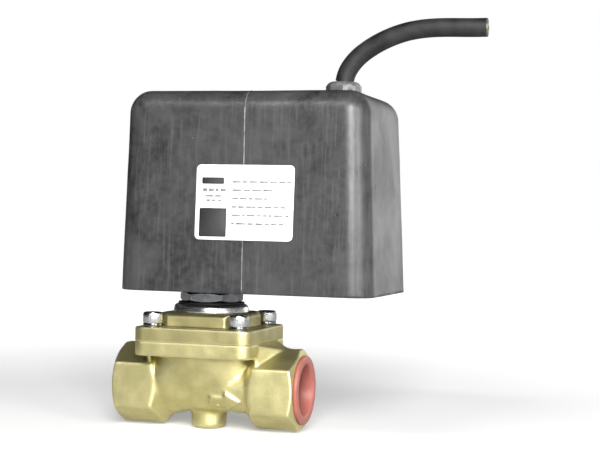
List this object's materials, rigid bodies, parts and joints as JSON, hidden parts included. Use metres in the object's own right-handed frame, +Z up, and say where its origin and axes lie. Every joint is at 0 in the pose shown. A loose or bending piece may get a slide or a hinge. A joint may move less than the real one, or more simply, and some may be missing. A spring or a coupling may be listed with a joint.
{
  "type": "solenoid valve",
  "caption": "Servo-assisted diaphragm solenoid valve: a brass body with threaded ports and a square bonnet, under a boxy potted magnet head with a short cable.",
  "frame": {"origin": "where the pipe axis through both ports crosses the armature's axis", "axes": "+X along the pipe towards the plugged outlet port, +Z up along the armature, -Y towards the labelled front"},
  "size_m": [0.1288, 0.059, 0.144],
  "materials": {
    "cast_brass": "fine sand-cast and tumbled, satin",
    "turned_brass": "turned",
    "zinc_steel": "bright zinc plated",
    "stainless": "turned",
    "soft_iron": "plain rolled and stamped",
    "dark_steel": "blackened",
    "black_rubber": "matt moulded",
    "plug_plastic": "soft moulded",
    "housing_plastic": "moulded, mottled and lightly scratched",
    "resin": "poured flat",
    "bobbin_plastic": "moulded",
    "copper_wire": "enamelled",
    "board_green": "solder mask",
    "component_black": "moulded",
    "varistor_blue": "dipped",
    "fuse_ceramic": "plain",
    "terminal_green": "moulded",
    "wire_red": "extruded",
    "wire_mixed": "extruded",
    "cable_sheath": "extruded, slightly dusty",
    "gland_plastic": "moulded",
    "label_film": "printed film"
  },
  "bodies": {
    "valve": {"valve_body": "cast_brass", "bonnet": "cast_brass", "cap_screws": "zinc_steel", "spring_washers": "zinc_steel", "diaphragm": "black_rubber", "guide_tube": "stainless", "tube_o_ring": "black_rubber", "collar_ring": "zinc_steel", "neck_seal_ring": "black_rubber", "lock_nut": "zinc_steel", "toothed_washer": "dark_steel", "fixed_core": "stainless"},
    "piston": {"seal_carrier": "turned_brass", "main_seal": "black_rubber", "support_plate": "stainless", "pilot_nozzle": "turned_brass", "diaphragm_nut": "turned_brass"},
    "armature": {"armature": "stainless", "pilot_seal": "black_rubber", "lift_cage": "stainless", "return_spring": "stainless"},
    "plug": {"port_plug": "plug_plastic"},
    "magnet_head": {"housing": "housing_plastic", "potting": "resin", "coil_bobbin": "bobbin_plastic", "coil_winding": "copper_wire", "magnet_yoke": "soft_iron", "pole_bush": "soft_iron", "thermal_fuse": "fuse_ceramic", "earth_tag": "turned_brass", "earth_screw": "zinc_steel", "rectifier_board": "board_green", "bridge_rectifier": "component_black", "varistor": "varistor_blue", "terminal_block": "terminal_green", "terminal_screws": "zinc_steel", "coil_leads": "wire_red", "cable_cores": "wire_mixed", "cable_inner_end": "cable_sheath", "gland_body": "gland_plastic", "gland_nut": "gland_plastic", "gland_seal": "black_rubber", "gland_washer": "black_rubber", "cable": "cable_sheath", "label": "label_film"}
  },
  "joints": [
    {"name": "armature_lift", "type": "slide", "parent": "valve", "child": "armature", "axis": [0, 0, 1], "range_m": [0, 0.004], "stiffness_N_per_m": 600, "springref_m": -0.004, "deforming": ["return_spring"]},
    {"name": "diaphragm_lift", "type": "slide", "parent": "valve", "child": "piston", "axis": [0, 0, 1], "range_m": [0, 0.003], "deforming": ["diaphragm"]},
    {"name": "head_swivel", "type": "hinge", "parent": "valve", "child": "magnet_head", "pos_m": [0, 0, 0.0344], "axis": [0, 0, 1], "range_deg": [-180, 180]},
    {"name": "plug_pull", "type": "slide", "parent": "valve", "child": "plug", "axis": [1, 0, 0], "range_m": [0, 0.015]}
  ],
  "couplings": [
    {"joint": "diaphragm_lift", "follows": "armature_lift", "ratio": 0.75}
  ]
}
